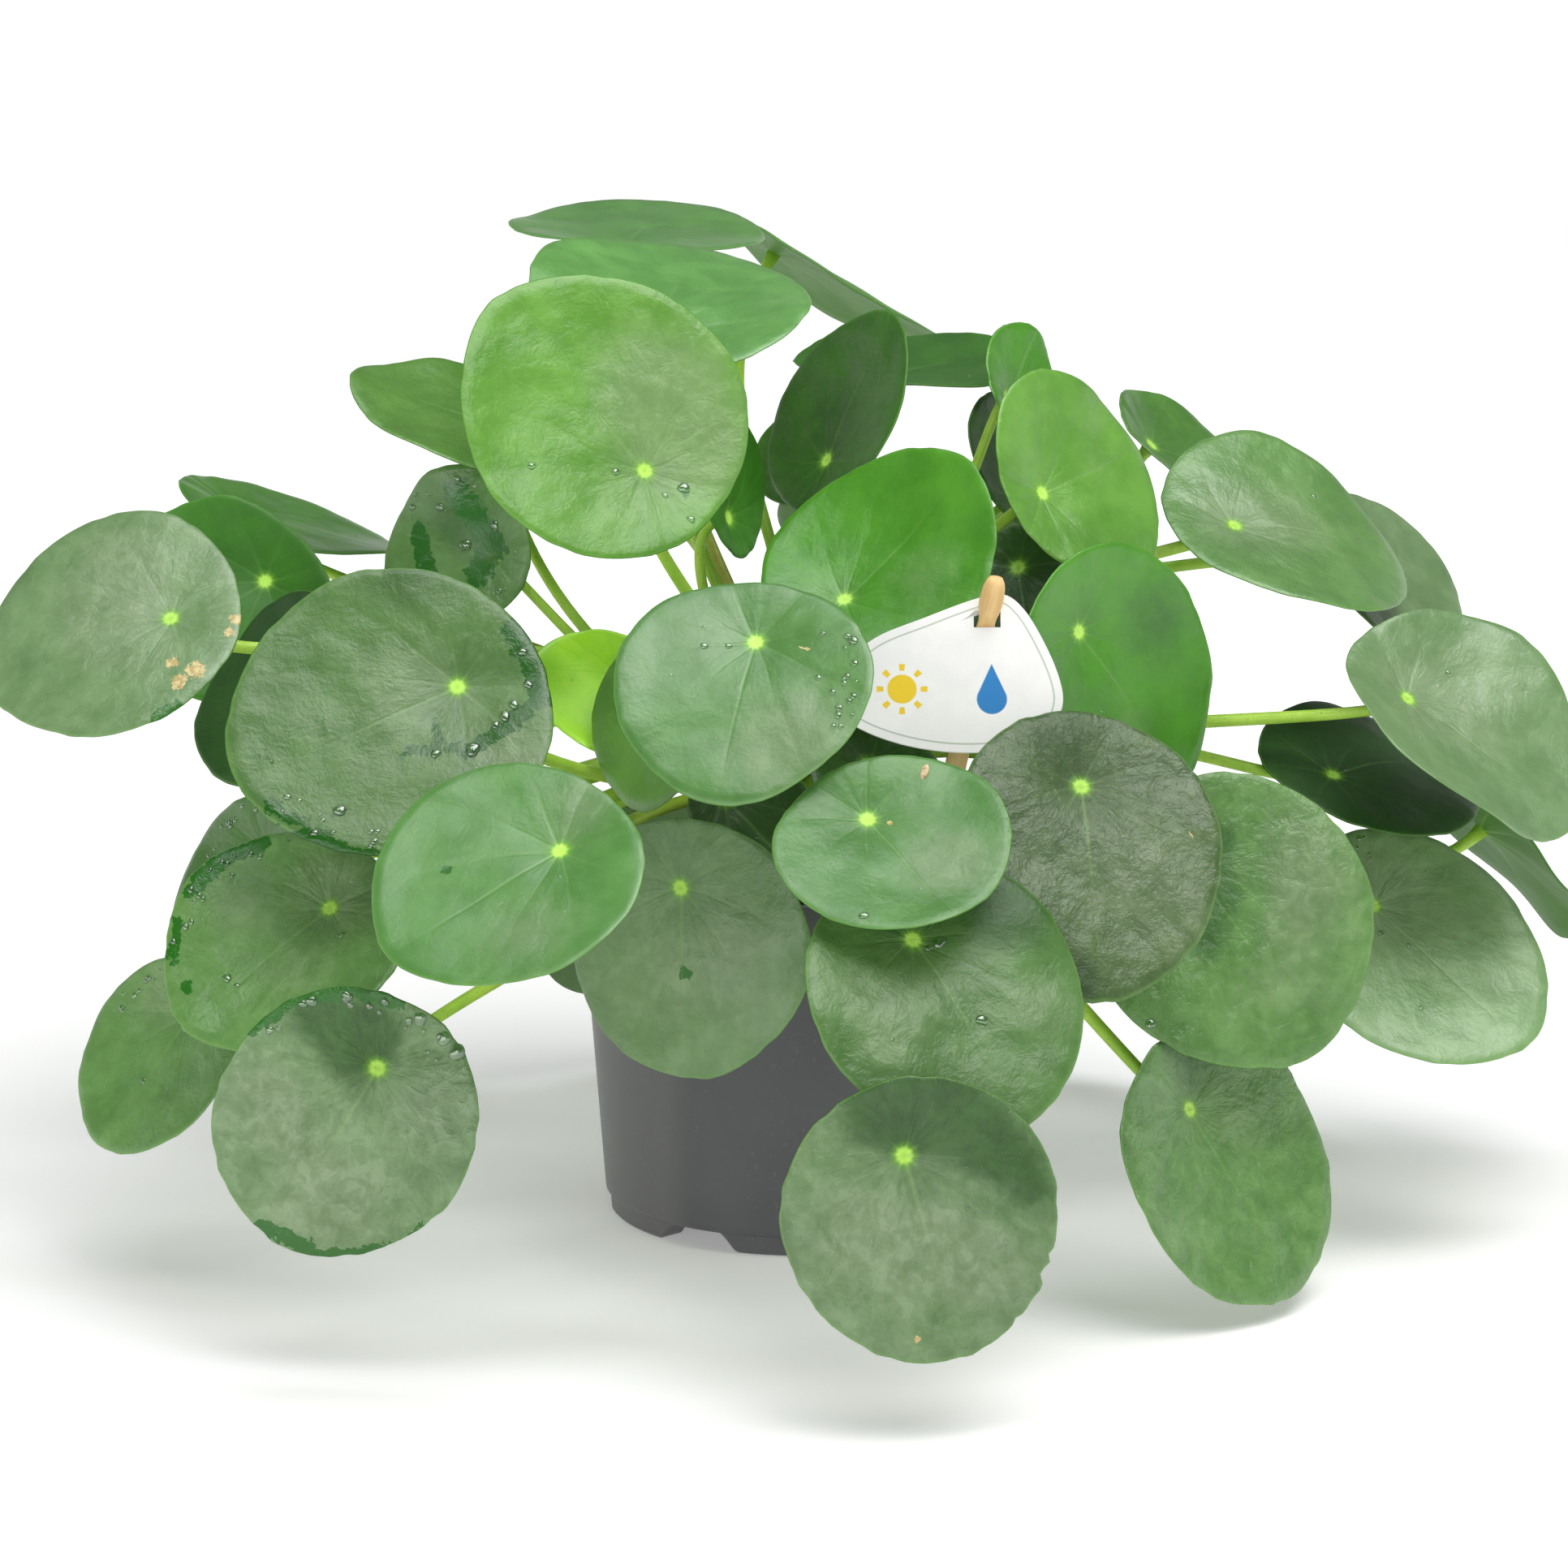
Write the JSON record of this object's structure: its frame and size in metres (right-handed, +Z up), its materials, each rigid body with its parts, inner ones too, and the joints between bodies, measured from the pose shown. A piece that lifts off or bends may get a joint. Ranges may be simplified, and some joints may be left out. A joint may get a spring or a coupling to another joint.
{
  "type": "potted chinese money plant",
  "caption": "Potted Chinese money plant (Pilea peperomioides): round shield-shaped leaves on long stalks from a short trunk, in a grey nursery pot with a blank teardrop plant tag.",
  "frame": {"origin": "on the ground, under the middle of the whole plant's bounding box; the pot's axis stands about 16 mm towards +Y from it", "axes": "+Z up, the front of the plant faces -Y, +X to its right as seen from the front"},
  "size_m": [0.4238, 0.3592, 0.2676],
  "materials": {
    "leaf": "satin",
    "stem": "satin",
    "soil": "matte",
    "pot_plastic": "satin",
    "tag_card": "satin",
    "tag_wood": "matte"
  },
  "bodies": {
    "root": {"pot": "pot_plastic", "soil": "soil", "stems": "stem", "leaf_01": "leaf", "leaf_02": "leaf", "leaf_03": "leaf", "leaf_04": "leaf", "leaf_05": "leaf", "leaf_06": "leaf", "leaf_07": "leaf", "leaf_08": "leaf", "leaf_09": "leaf", "leaf_10": "leaf", "leaf_11": "leaf", "leaf_12": "leaf", "leaf_13": "leaf", "leaf_14": "leaf", "leaf_15": "leaf", "leaf_16": "leaf", "leaf_17": "leaf", "leaf_18": "leaf", "leaf_19": "leaf", "leaf_20": "leaf", "leaf_21": "leaf", "leaf_22": "leaf", "leaf_23": "leaf", "leaf_24": "leaf", "leaf_25": "leaf", "leaf_26": "leaf", "leaf_27": "leaf", "leaf_28": "leaf", "leaf_29": "leaf", "leaf_30": "leaf", "leaf_31": "leaf", "leaf_32": "leaf", "leaf_33": "leaf", "leaf_34": "leaf", "leaf_35": "leaf", "leaf_36": "leaf", "leaf_37": "leaf", "leaf_38": "leaf", "leaf_39": "leaf", "leaf_40": "leaf", "leaf_41": "leaf", "leaf_42": "leaf", "leaf_43": "leaf", "leaf_44": "leaf", "leaf_45": "leaf", "leaf_46": "leaf", "leaf_47": "leaf", "leaf_48": "leaf", "leaf_49": "leaf", "leaf_50": "leaf", "leaf_51": "leaf", "leaf_52": "leaf", "leaf_53": "leaf", "leaf_54": "leaf", "leaf_55": "leaf", "tag_stick": "tag_wood", "tag_card": "tag_card"}
  },
  "joints": []
}
